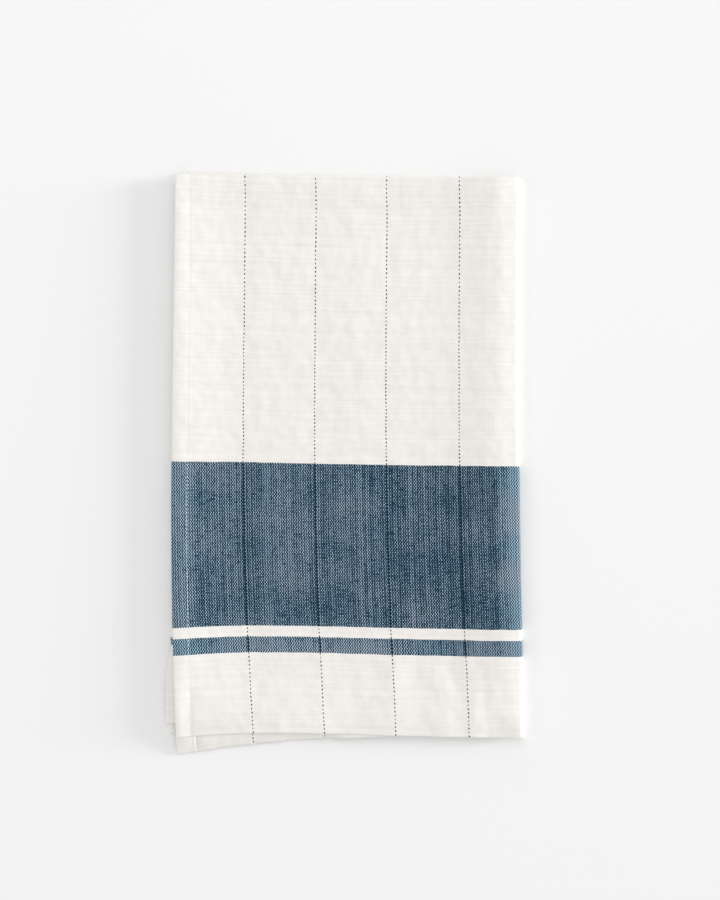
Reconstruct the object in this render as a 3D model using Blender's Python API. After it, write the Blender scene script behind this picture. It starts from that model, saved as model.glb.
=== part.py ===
"""A hand-woven cotton tea towel, hemmed all round, folded in four and lying flat.

The whole towel is one piece of cloth, so it is one closed solid: a flat cloth, thicker where its
four edges are turned in and sewn, folded twice. The first fold is crosswise, with the wrong
sides together and the hems inside. The second is lengthwise, so that the half with the woven
bands ends up outside. Four layers then lie on each other, a little apart, joined by a crosswise
fold at the far end and a lengthwise fold on the right:

    layer 1, on top         banded half, right side up
    layer 2                 plain half, right side down
    layer 3                 plain half, right side up
    layer 4, on the table   banded half, right side down

Frame: metres, +Z up, +Y towards the crosswise fold, +X towards the lengthwise fold. The origin is
under the middle of the folded towel, on the surface that it lies on.
"""

import math
from typing import NamedTuple

import bmesh
import bpy

# The cloth as it is cut and hemmed, laid out flat
CLOTH_WIDTH = 0.490
CLOTH_LENGTH = 0.790
CLOTH_THICKNESS = 0.0010
SIDE_HEM_WIDTH = 0.0126
END_HEM_WIDTH = 0.0140
HEM_THICKNESS = 0.0016

# The stack of layers
LAYER_GAP = 0.0005
HEM_ROOM = 0.0018  # for each layer's hem, which doesn't lie quite flat
HEM_PLATEAU = 0.005  # the stack is highest up to here from its outermost edge
HEM_SLOPE = 0.050  # over this length the layers come down from the hems to the bare cloth
HEM_SLOPE_SKEW = 0.75  # below 1, the slope is steepest close to the hems
LONG_FOLD_LOFT = 0.0014  # the springy cloth holds the lengthwise fold this much wider open
LONG_FOLD_CREST = 0.012  # most of all here, beside the fold
LONG_FOLD_DIP = 0.3  # and at the fold itself by this share less
LONG_FOLD_REACH = 0.054
CROSS_FOLD_LOFT = 0.0004  # and the crosswise fold this much
CROSS_FOLD_REACH = 0.030
DROOP_LENGTH = 0.016  # layer 2 sags where it runs on past the end of the layers under it
DROOP_DEPTH = 0.0032

# Small edges
EDGE_ROUNDING = 0.0007
EDGE_SHARE = 0.5  # of the hem's thickness is left at its rounded edge
HEM_STEP = 0.0010  # the hem's inner edge steps down to the bare cloth over this width


class PlanRow(NamedTuple):
    """Where one line across the cloth lies in plan: at its two side edges and at the fold."""

    upper_edge: tuple[float, float]
    fold: tuple[float, float]
    lower_edge: tuple[float, float]


# The towel was folded by hand, so no two of its corners lie quite on each other
BANDED_END = PlanRow((-0.1195, -0.1920), (0.1251, -0.1920), (-0.1244, -0.1906))
CROSS_FOLD = PlanRow((-0.1202, 0.2035), (0.1220, 0.2007), (-0.1115, 0.2056))
PLAIN_END = PlanRow((-0.1195, -0.2053), (0.1251, -0.1850), (-0.1251, -0.1829))

# Between their corners the edges bow: the upper layers to the left, and both ends inwards. Each
# skew moves the deepest place of its bow away from the middle, towards the hemmed corner.
UPPER_EDGE_BOW = 0.0030
UPPER_EDGE_SKEW = 1.5
LONG_FOLD_BOW = 0.0021
END_BOW = 0.0034
END_SKEW = 2.0
END_BOW_REACH = 2.5  # the higher it is, the closer to the end the end's bow stays


class Band(NamedTuple):
    """A band woven across the whole cloth, by how far its edges are from the banded end."""

    start: float
    end: float


NARROW_BAND = Band(0.0583, 0.0696)
WIDE_BAND = Band(0.0773, 0.1910)

# The surface's look
CREAM = (0.86, 0.83, 0.79)
NAVY_AND_CREAM = (0.085, 0.13, 0.18)  # navy weft crossing the cream warp
COTTON_ROUGHNESS = 0.92

# How finely the cloth is divided
SLOPE_STEPS = 4
LONG_LOFT_STEPS = 4
CROSS_LOFT_STEPS = 2
TURN_STEPS_ACROSS = 8
TURN_STEPS_ALONG = 6
FIELD_STEPS_ACROSS = 4
FIELD_STEPS_ALONG = 6


class Place(NamedTuple):
    """A place along a folded line: how far it is from the fold, and how far round the fold."""

    run: float  # metres along the layer, from where the fold begins to bend
    turn: float  # radians: 0 on the upper layer, pi on the lower one, between them in the bend


# Half of the cloth lies straight on each side of a fold, less what goes round the bend
RISE = CLOTH_THICKNESS + LAYER_GAP / 2 + CROSS_FOLD_LOFT
BEND = CLOTH_THICKNESS + LAYER_GAP + LONG_FOLD_LOFT * (1 - LONG_FOLD_DIP) + CROSS_FOLD_LOFT
RUN_ACROSS = CLOTH_WIDTH / 2 - math.pi / 2 * BEND
RUN_ALONG = CLOTH_LENGTH / 2 - math.pi / 2 * (RISE - CLOTH_THICKNESS / 2)


def smooth(share: float) -> float:
    """Runs softly from 0 to 1 as share goes from 0 to 1, and stays level outside."""
    share = min(max(share, 0.0), 1.0)
    return share * share * (3 - 2 * share)


def mix(start: float, end: float, share: float) -> float:
    """The number that lies share of the way from start to end."""
    return start + (end - start) * share


def mix_points(
    start: tuple[float, float], end: tuple[float, float], share: float
) -> tuple[float, float]:
    """The plan point that lies share of the way from start to end."""
    return mix(start[0], end[0], share), mix(start[1], end[1], share)


def even_steps(start: float, end: float, steps: int) -> list[float]:
    """The numbers after start, up to and with end, in equal steps."""
    return [mix(start, end, (step + 1) / steps) for step in range(steps)]


def runs_of_layer(
    run: float,
    hem: float,
    fold_reach: float,
    steps: tuple[int, int],
    bands: tuple[Band, ...] = (),
) -> list[float]:
    """How far the places of one line of a layer are from its fold, from the edge inwards.

    Args:
        run: Length of the line, from the cloth's edge to the fold.
        hem: Width of the hem at the edge.
        fold_reach: Length beside the fold over which its loft fades.
        steps: Number of steps in the bare cloth up to the fold's loft, and in the loft.
        bands: Bands that cross the line, whose edges need places of their own.
    """
    bare_cloth = run - hem - HEM_STEP
    slope_end = run - HEM_PLATEAU - HEM_SLOPE
    runs = [run, run - EDGE_ROUNDING, run - hem / 2, run - hem, bare_cloth]
    runs += even_steps(bare_cloth, slope_end, SLOPE_STEPS)
    runs += even_steps(slope_end, fold_reach, steps[0])
    runs += even_steps(fold_reach, 0.0, steps[1])
    runs += [run - edge for band in bands for edge in band]
    return sorted(runs, reverse=True)


def places_round_fold(first: list[float], second: list[float], steps: int) -> list[Place]:
    """The places of one line of the cloth, from an edge round the fold to the other edge.

    Args:
        first: How far the places before the fold are from it, from the edge inwards.
        second: The same for the places after the fold, again from the edge inwards.
        steps: Number of steps round the fold.
    """
    before = [Place(run, 0.0) for run in first]
    bend = [Place(0.0, math.pi * step / steps) for step in range(1, steps)]
    after = [Place(run, math.pi) for run in reversed(second)]
    return before + bend + after


def plan_point(
    lower: float, plain: float, from_fold: float, from_far_end: float
) -> tuple[float, float]:
    """Where a place of the cloth lies in plan.

    Args:
        lower: 0 on the layers above the lengthwise fold, 1 below it, between them in the fold.
        plain: 0 on the banded half, 1 on the plain half, between them in the crosswise fold.
        from_fold: Share of the way from the lengthwise fold to the side edge.
        from_far_end: Share of the way from the crosswise fold to the end.
    """
    side_end = mix_points(
        mix_points(BANDED_END.upper_edge, BANDED_END.lower_edge, lower),
        mix_points(PLAIN_END.upper_edge, PLAIN_END.lower_edge, lower),
        plain,
    )
    side_top = mix_points(CROSS_FOLD.upper_edge, CROSS_FOLD.lower_edge, lower)
    fold_end = mix_points(BANDED_END.fold, PLAIN_END.fold, plain)
    x, y = mix_points(
        mix_points(CROSS_FOLD.fold, fold_end, from_far_end),
        mix_points(side_top, side_end, from_far_end),
        from_fold,
    )
    edge_bow = UPPER_EDGE_BOW * (1 - lower) * math.sin(math.pi * from_far_end**UPPER_EDGE_SKEW)
    x -= mix(LONG_FOLD_BOW * math.sin(math.pi * from_far_end), edge_bow, from_fold)
    y += END_BOW * math.sin(math.pi * from_fold**END_SKEW) * from_far_end**END_BOW_REACH
    return x, y


def past_hems(inwards: float) -> float:
    """How far down the slope inside the hems a place is, as a share, from how far in it lies."""
    return smooth(max((inwards - HEM_PLATEAU) / HEM_SLOPE, 0.0) ** HEM_SLOPE_SKEW)


def share_of_hem(x: float, y: float) -> float:
    """How much of a hem's thickness each layer has to leave room for at a plan point."""
    outer_x = BANDED_END.lower_edge[0]
    outer_y = BANDED_END.upper_edge[1]
    return 1 - past_hems(x - outer_x) * past_hems(y - outer_y)


def long_fold_share(run: float) -> float:
    """How much of the lengthwise fold's loft is left at a distance from it."""
    faded = smooth((run - LONG_FOLD_CREST) / (LONG_FOLD_REACH - LONG_FOLD_CREST))
    return (1 - faded) * (1 - LONG_FOLD_DIP * (1 - smooth(run / LONG_FOLD_CREST)))


def thickness(across: Place, along: Place) -> float:
    """How thick the cloth itself is at a place: two more layers of it within a hem."""
    in_side_hem = smooth((across.run - (RUN_ACROSS - SIDE_HEM_WIDTH) + HEM_STEP) / HEM_STEP)
    in_end_hem = smooth((along.run - (RUN_ALONG - END_HEM_WIDTH) + HEM_STEP) / HEM_STEP)
    return mix(CLOTH_THICKNESS, HEM_THICKNESS, max(in_side_hem, in_end_hem))


def edge_pull(across: Place, along: Place) -> float:
    """How far both faces of the hem draw together at its rounded outer edge."""
    from_edge = min(RUN_ACROSS - across.run, RUN_ALONG - along.run)
    rounded = 1 - smooth(from_edge / EDGE_ROUNDING)
    return rounded * (1 - EDGE_SHARE) * HEM_THICKNESS / 2


def cloth_point(across: Place, along: Place, wrong_side: bool) -> tuple[float, float, float]:
    """A point on one face of the folded cloth.

    The crosswise fold bends the cloth round a line halfway between two layers, and the lengthwise
    fold bends that pair round the surface halfway up the stack.

    Args:
        across: Place along the line that crosses the lengthwise fold.
        along: Place along the line that crosses the crosswise fold.
        wrong_side: Whether the point is on the face with the turned hems.
    """
    lower = (1 - math.cos(across.turn)) / 2
    plain = (1 - math.cos(along.turn)) / 2
    x, y = plan_point(lower, plain, across.run / RUN_ACROSS, along.run / RUN_ALONG)
    hemmed = share_of_hem(x, y)
    room = mix(CLOTH_THICKNESS, HEM_ROOM, hemmed)
    cross_loft = CROSS_FOLD_LOFT * (1 - hemmed) * (1 - smooth(along.run / CROSS_FOLD_REACH))
    long_loft = LONG_FOLD_LOFT * (1 - hemmed) * long_fold_share(across.run)
    rise = room + LAYER_GAP / 2 + cross_loft
    bend = room + LAYER_GAP + cross_loft + long_loft
    middle = bend + rise

    reach = rise - edge_pull(across, along)
    if wrong_side:
        reach = rise - thickness(across, along) + edge_pull(across, along)
    radius = bend + reach * math.cos(along.turn)
    overhang = smooth((BANDED_END.lower_edge[1] - y) / DROOP_LENGTH) * (1 - lower)
    height = middle + radius * math.cos(across.turn) - DROOP_DEPTH * overhang

    past_fold = radius * math.sin(across.turn)
    past_far_end = reach * math.sin(along.turn)
    from_fold = (across.run + middle - past_fold) / (RUN_ACROSS + middle)
    from_far_end = max(along.run + rise - past_far_end, 0.0) / (RUN_ALONG + rise)
    return *plan_point(lower, plain, from_fold, from_far_end), height


def cut_cloth(columns: int, rows: int) -> bmesh.types.BMesh:
    """A flat, closed slab of cloth with columns by rows points on each of its two faces."""
    slab = bmesh.new()
    bmesh.ops.create_grid(slab, x_segments=columns - 1, y_segments=rows - 1, size=1.0)
    bmesh.ops.solidify(slab, geom=slab.faces[:], thickness=CLOTH_THICKNESS)
    bmesh.ops.recalc_face_normals(slab, faces=slab.faces[:])
    return slab


def line_number(place: float, lines: int) -> float:
    """Which line of the flat slab lies at a place between -1 and 1, counted from 0."""
    return (place + 1) / 2 * (lines - 1)


def colour_bands(slab: bmesh.types.BMesh, rows: list[Place]) -> None:
    """Gives the faces of the two woven bands their own material."""
    for face in slab.faces:
        first_row = int(line_number(face.calc_center_median().y, len(rows)))
        place = rows[min(first_row, len(rows) - 2)]
        from_end = RUN_ALONG - place.run
        banded_half = place.turn == 0.0
        in_band = any(band.start <= from_end < band.end for band in (NARROW_BAND, WIDE_BAND))
        face.material_index = int(banded_half and in_band)


def fold_cloth(slab: bmesh.types.BMesh, columns: list[Place], rows: list[Place]) -> None:
    """Moves each point of the flat slab to its place in the folded towel."""
    right_side = max(vertex.co.z for vertex in slab.verts)
    for vertex in slab.verts:
        column = round(line_number(vertex.co.x, len(columns)))
        row = round(line_number(vertex.co.y, len(rows)))
        wrong_side = vertex.co.z < right_side - CLOTH_THICKNESS / 2
        vertex.co = cloth_point(columns[column], rows[row], wrong_side)


def cotton(name: str, colour: tuple[float, float, float]) -> bpy.types.Material:
    """Matt plain-woven cotton of one colour."""
    material = bpy.data.materials.new(name)
    material.use_nodes = True
    shader = material.node_tree.nodes["Principled BSDF"]
    shader.inputs["Base Color"].default_value = (*colour, 1.0)
    shader.inputs["Roughness"].default_value = COTTON_ROUGHNESS
    shader.inputs["Metallic"].default_value = 0.0
    material.diffuse_color = (*colour, 1.0)
    return material


def make_towel() -> bpy.types.Object:
    """The folded towel as one object."""
    steps_across = (FIELD_STEPS_ACROSS, LONG_LOFT_STEPS)
    steps_along = (FIELD_STEPS_ALONG, CROSS_LOFT_STEPS)
    side = runs_of_layer(RUN_ACROSS, SIDE_HEM_WIDTH, LONG_FOLD_REACH, steps_across)
    plain = runs_of_layer(RUN_ALONG, END_HEM_WIDTH, CROSS_FOLD_REACH, steps_along)
    banded = runs_of_layer(
        RUN_ALONG, END_HEM_WIDTH, CROSS_FOLD_REACH, steps_along, (NARROW_BAND, WIDE_BAND)
    )
    columns = places_round_fold(side, side, TURN_STEPS_ACROSS)
    rows = places_round_fold(banded, plain, TURN_STEPS_ALONG)

    slab = cut_cloth(len(columns), len(rows))
    colour_bands(slab, rows)
    fold_cloth(slab, columns, rows)
    mesh = bpy.data.meshes.new("tea_towel")
    slab.to_mesh(mesh)
    slab.free()
    mesh.materials.append(cotton("natural_cotton", CREAM))
    mesh.materials.append(cotton("navy_banded_cotton", NAVY_AND_CREAM))
    mesh.shade_smooth()
    return bpy.data.objects.new("tea_towel", mesh)


def main() -> None:
    """Clears the scene and puts the towel in a collection of its own."""
    for leftover in list(bpy.data.objects):
        bpy.data.objects.remove(leftover, do_unlink=True)
    collection = bpy.data.collections.new("Tea towel")
    bpy.context.scene.collection.children.link(collection)
    collection.objects.link(make_towel())


main()
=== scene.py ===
"""The looks of a hand-woven cotton tea towel, hemmed all round, folded in four and lying flat.

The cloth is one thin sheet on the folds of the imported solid. Its weave is a plain one, of thick
cream cotton, with single navy warp ends that show as dotted stripes, and with navy weft in two
bands near one end. All four edges are turned in twice and sewn with white thread.

Frame: metres, +Z up, +Y towards the crosswise fold, +X towards the lengthwise fold. A place on
the opened cloth is given by u, across it from the side edge of the upper layers, and by v, along
it from the banded end.
"""

import logging
import math
from dataclasses import dataclass, field
from enum import Enum
from typing import Any

import bpy
import numpy as np
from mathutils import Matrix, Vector


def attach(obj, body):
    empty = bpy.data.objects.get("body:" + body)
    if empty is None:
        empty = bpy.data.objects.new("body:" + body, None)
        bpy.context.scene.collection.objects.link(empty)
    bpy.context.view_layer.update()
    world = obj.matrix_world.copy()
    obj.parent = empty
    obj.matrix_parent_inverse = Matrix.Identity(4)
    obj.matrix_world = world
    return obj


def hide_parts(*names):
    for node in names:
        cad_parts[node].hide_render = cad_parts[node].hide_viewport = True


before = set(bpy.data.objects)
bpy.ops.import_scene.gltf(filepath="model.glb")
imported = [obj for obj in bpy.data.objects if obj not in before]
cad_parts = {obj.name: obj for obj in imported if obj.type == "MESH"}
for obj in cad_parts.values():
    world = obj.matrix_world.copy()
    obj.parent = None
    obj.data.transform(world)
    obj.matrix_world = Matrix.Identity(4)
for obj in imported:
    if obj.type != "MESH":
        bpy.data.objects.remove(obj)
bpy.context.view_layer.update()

LOG = logging.getLogger("tea_towel")
MM = 0.001

THREAD_MAP = "threads"  # counts the warp's ends and the weft's picks
BAKE_MAP = "OFBake"
WARP_SHOW = "warp_show"  # how large the warp's points are between the weft, in threads, which also paints light and shade

Point = tuple[float, float]
Inputs = dict[str, Any] | tuple[Any, ...]


# --- Small tools -----------------------------------------------------------------------------


def smooth(share: np.ndarray | float) -> np.ndarray:
    """Runs softly from 0 to 1 as share goes from 0 to 1, and stays level outside."""
    held = np.clip(share, 0.0, 1.0)
    return held * held * (3 - 2 * held)


def mix(start: Any, end: Any, share: Any) -> Any:
    """The number, or array of numbers, that lies share of the way from start to end."""
    return start + (end - start) * share


def linear_colour(hex_colour: str) -> tuple[float, float, float, float]:
    """Turns an sRGB colour into the linear one that Blender's shaders take.

    Args:
        hex_colour: A value such as #f4f1ea.

    Returns:
        Its red, green and blue, and 1.0 for its alpha.
    """
    channels = [int(hex_colour[at : at + 2], 16) / 255 for at in (1, 3, 5)]
    linear = [c / 12.92 if c <= 0.04045 else ((c + 0.055) / 1.055) ** 2.4 for c in channels]
    return (*linear, 1.0)


def find_socket(sockets: Any, name: str | int) -> bpy.types.NodeSocket:
    """Finds an input or an output of a node.

    Args:
        sockets: The node's inputs or its outputs.
        name: The socket's number or its name, or an empty text for the first one in use.

    Returns:
        The socket.
    """
    if isinstance(name, int):
        return sockets[name]
    return next(socket for socket in sockets if socket.enabled and name in ("", socket.name))


class Node(Enum):
    """The kinds of node that the trees are made of: Blender's names and their settings."""

    ADD = ("ShaderNodeMath", {"operation": "ADD"})
    SUBTRACT = ("ShaderNodeMath", {"operation": "SUBTRACT"})
    MULTIPLY = ("ShaderNodeMath", {"operation": "MULTIPLY"})
    MULTIPLY_ADD = ("ShaderNodeMath", {"operation": "MULTIPLY_ADD"})
    MODULO = ("ShaderNodeMath", {"operation": "FLOORED_MODULO"})
    ABSOLUTE = ("ShaderNodeMath", {"operation": "ABSOLUTE"})
    COMPARE = ("ShaderNodeMath", {"operation": "COMPARE"})
    LESS_THAN = ("ShaderNodeMath", {"operation": "LESS_THAN"})
    PINGPONG = ("ShaderNodeMath", {"operation": "PINGPONG"})
    ADD_VECTOR = ("ShaderNodeVectorMath", {"operation": "ADD"})
    SUBTRACT_VECTOR = ("ShaderNodeVectorMath", {"operation": "SUBTRACT"})
    MULTIPLY_VECTOR = ("ShaderNodeVectorMath", {"operation": "MULTIPLY"})
    MULTIPLY_ADD_VECTOR = ("ShaderNodeVectorMath", {"operation": "MULTIPLY_ADD"})
    FLOOR = ("ShaderNodeVectorMath", {"operation": "FLOOR"})
    FRACTION = ("ShaderNodeVectorMath", {"operation": "FRACTION"})
    LENGTH = ("ShaderNodeVectorMath", {"operation": "LENGTH"})
    DOT_PRODUCT = ("ShaderNodeVectorMath", {"operation": "DOT_PRODUCT"})
    COMBINE = ("ShaderNodeCombineXYZ", {})
    SEPARATE = ("ShaderNodeSeparateXYZ", {})
    SEPARATE_COLOUR = ("ShaderNodeSeparateColor", {})
    RANGE = ("ShaderNodeMapRange", {})
    SOFT_RANGE = ("ShaderNodeMapRange", {"interpolation_type": "SMOOTHSTEP"})
    MIX = ("ShaderNodeMix", {})
    MIX_COLOUR = ("ShaderNodeMix", {"data_type": "RGBA"})
    NOISE = ("ShaderNodeTexNoise", {"noise_dimensions": "2D"})
    RANDOM_TONE = ("ShaderNodeTexWhiteNoise", {"noise_dimensions": "1D"})
    RANDOM_TONE_2D = ("ShaderNodeTexWhiteNoise", {"noise_dimensions": "2D"})
    CELLS = ("ShaderNodeTexVoronoi", {"voronoi_dimensions": "2D"})
    WAVE = ("ShaderNodeTexWave", {"bands_direction": "DIAGONAL"})
    BUMP = ("ShaderNodeBump", {})
    COORDINATES = ("ShaderNodeTexCoord", {})
    THREAD_MAP = ("ShaderNodeUVMap", {"uv_map": THREAD_MAP})
    WARP_SHOW = ("ShaderNodeAttribute", {"attribute_name": WARP_SHOW})
    GROUP_INPUT = ("NodeGroupInput", {})
    GROUP_OUTPUT = ("NodeGroupOutput", {})
    MESH_TO_CURVE = ("GeometryNodeMeshToCurve", {})
    RESAMPLE = ("GeometryNodeResampleCurve", {"mode": "LENGTH"})
    RANDOM_VECTOR = ("FunctionNodeRandomValue", {"data_type": "FLOAT_VECTOR"})
    TANGENT = ("GeometryNodeInputTangent", {})
    ALIGN = ("FunctionNodeAlignRotationToVector", {"axis": "Z"})
    SPHERE = ("GeometryNodeMeshUVSphere", {})
    TRANSFORM = ("GeometryNodeTransform", {})
    INSTANCES = ("GeometryNodeInstanceOnPoints", {})
    REALIZE = ("GeometryNodeRealizeInstances", {})
    SET_MATERIAL = ("GeometryNodeSetMaterial", {})


@dataclass(frozen=True)
class NodeBench:
    """A node tree that is being made, with its nodes by the names they are kept under."""

    tree: bpy.types.NodeTree
    made: dict[str, bpy.types.Node] = field(default_factory=dict)

    def output(self, name: str) -> bpy.types.NodeSocket:
        """A node's first output in use, or the one that its name gives after a dot."""
        node, _, socket = name.partition(".")
        return find_socket(self.made[node].outputs, socket)

    def feed(self, node: bpy.types.Node, inputs: Inputs) -> None:
        """Sets and links a node's inputs.

        Args:
            node: The node.
            inputs: For each input, by its name or in their order, a value, or as a text what
                output takes.
        """
        for key, value in inputs.items() if isinstance(inputs, dict) else enumerate(inputs):
            socket = find_socket(node.inputs, key)
            if isinstance(value, str):
                self.tree.links.new(self.output(value), socket)
            else:
                socket.default_value = value

    def add(self, name: str, kind: Node, inputs: Inputs) -> None:
        """Adds a node, sets it up and links it.

        Args:
            name: What the node is kept under. An earlier node of the name gives way to it.
            kind: What kind of node it is.
            inputs: What feed takes. The name still stands for the earlier node there.
        """
        blender_name, settings = kind.value
        node = self.tree.nodes.new(blender_name)
        for setting, value in settings.items():
            setattr(node, setting, value)
        self.feed(node, inputs)
        self.made[name] = node

    def add_all(self, *rows: tuple[str, Node, Inputs]) -> None:
        """Adds one node for each row, in order."""
        for row in rows:
            self.add(*row)


def new_material(
    name: str, surface: dict[str, Any]
) -> tuple[bpy.types.Material, NodeBench, bpy.types.Node]:
    """Makes a material.

    Args:
        name: Its name.
        surface: The values of its shader's inputs, by their names.

    Returns:
        The material, its tree and its shader.
    """
    material = bpy.data.materials.new(name)
    material.use_nodes = True
    bench = NodeBench(material.node_tree)
    shader = material.node_tree.nodes["Principled BSDF"]
    bench.feed(shader, surface)
    return material, bench, shader


def new_mesh(name: str, points: Any, edges: Any, faces: Any) -> bpy.types.Mesh:
    """Makes a mesh.

    Args:
        name: Its name.
        points: The place of each vertex.
        edges: The vertex numbers of each edge that belongs to no face.
        faces: The vertex numbers of each face.

    Returns:
        The mesh.
    """
    mesh = bpy.data.meshes.new(name)
    mesh.from_pydata(points, edges, faces)
    return mesh


def add_object(name: str, data: bpy.types.ID) -> bpy.types.Object:
    """Puts a mesh, a lamp or a camera into the scene.

    Args:
        name: The object's name.
        data: What it shows.

    Returns:
        The object.
    """
    made = bpy.data.objects.new(name, data)
    bpy.context.scene.collection.objects.link(made)
    return made


# --- The folded cloth ------------------------------------------------------------------------


class Face(Enum):
    """The two faces of the cloth."""

    RIGHT = 0
    WRONG = 1


class Layers(Enum):
    """Which of the four layers a crease goes through."""

    TOP = 0
    SECOND = 1
    ALL = 2


@dataclass(frozen=True)
class PlanRow:
    """Where one line across the folded cloth lies in plan: at its two side edges and its fold."""

    upper_edge: Point
    fold: Point
    lower_edge: Point

    def side(self, axis: int, lower: np.ndarray) -> np.ndarray:
        """Where the side edge lies along an axis, from the upper layers' to the lower ones'."""
        return mix(self.upper_edge[axis], self.lower_edge[axis], lower)


@dataclass(frozen=True)
class Crease:
    """A soft ridge, or a trough where its height is below 0, along a short line in plan."""

    start: Point
    end: Point
    half_width: float
    height: float
    layers: Layers = Layers.ALL

    def lift(self, x: np.ndarray, y: np.ndarray) -> np.ndarray:
        """How far the crease lifts the cloth.

        Args:
            x: Plan places, in metres.
            y: The same.

        Returns:
            Metres at each place.
        """
        line = np.subtract(self.end, self.start)
        along = ((x - self.start[0]) * line[0] + (y - self.start[1]) * line[1]) / (line @ line)
        along = np.clip(along, 0.0, 1.0)
        away_x = x - self.start[0] - along * line[0]
        away_y = y - self.start[1] - along * line[1]
        return self.height * np.exp(-(away_x**2 + away_y**2) / self.half_width**2)


@dataclass(frozen=True)
class Ripple:
    """A long faint wave that washing and folding leave in the cloth."""

    across: float  # wavelength along X, in metres
    along: float  # wavelength along Y
    height: float
    phase: float

    def lift(self, x: np.ndarray, y: np.ndarray) -> np.ndarray:
        """How far the wave lifts the cloth at plan places x and y, in metres."""
        return self.height * np.sin(2 * math.pi * (x / self.across + y / self.along) + self.phase)


@dataclass(frozen=True)
class Stations:
    """The places along one line of the cloth, from one of its edges round a fold to the other.

    Each field is an array with one number for each place.
    """

    run: np.ndarray  # metres from where the fold begins to bend, on the right side
    wrong_run: np.ndarray  # the same on the wrong side, where the hem's inner edge bulges
    turn: np.ndarray  # radians round the fold: 0 on the upper layer, pi on the lower one
    hemmed: np.ndarray  # share of the turned-in layers' thickness, on the wrong side
    pull: np.ndarray  # how far the two faces draw together at the rounded outer edge
    sewn: np.ndarray  # how far the seam pulls the cloth in, as a share


@dataclass(frozen=True)
class Hem:
    """An edge turned in twice and sewn down close to its inner fold."""

    width: float
    seam_inset: float = 1.7 * MM  # from the inner fold out to the seam
    edge_rows: tuple[tuple[float, float], ...] = (  # from the edge in mm, and share of the pull
        (0.0, 0.74), (0.12, 0.46), (0.35, 0.22), (0.7, 0.06), (1.1, 0.0),
    )
    seam_rows: tuple[tuple[float, float], ...] = (  # from the seam in mm, and share of the groove
        (-1.3, 0.0), (-0.7, 0.3), (-0.25, 0.9), (0.25, 0.9), (0.7, 0.3),
    )
    fold_rows: tuple[tuple[float, float, float], ...] = (
        # from the inner fold in mm, on the right side and on the wrong side, and share of hem
        (-0.8, -0.6, 1.0), (-0.5, -0.25, 0.95), (-0.2, -0.03, 0.78), (0.1, 0.03, 0.52),
        (0.4, -0.08, 0.22), (0.7, -0.1, 0.0), (1.1, 0.6, 0.0), (1.6, 1.3, 0.0),
        (2.3, 2.2, 0.0), (3.2, 3.2, 0.0),
    )

    @property
    def seam(self) -> float:
        """How far the seam is from the cloth's edge."""
        return self.width - self.seam_inset

    def rows(self) -> list[tuple[float, float, float, float, float]]:
        """The places across the hem, from the edge inwards.

        Returns:
            For each, how far it is from the edge on the right side and on the wrong side, and
            its shares of the hem's thickness, of the edge's pull and of the seam's groove.
        """
        rows = [(off * MM, off * MM, 1.0, pull, 0.0) for off, pull in self.edge_rows]
        rows += [(self.seam / 2, self.seam / 2, 1.0, 0.0, 0.0)]
        seam = self.seam
        rows += [(seam + o * MM, seam + o * MM, 1.0, 0.0, groove) for o, groove in self.seam_rows]
        width = self.width
        rows += [(width + r * MM, width + w * MM, s, 0.0, 0.0) for r, w, s in self.fold_rows]
        return rows


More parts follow.
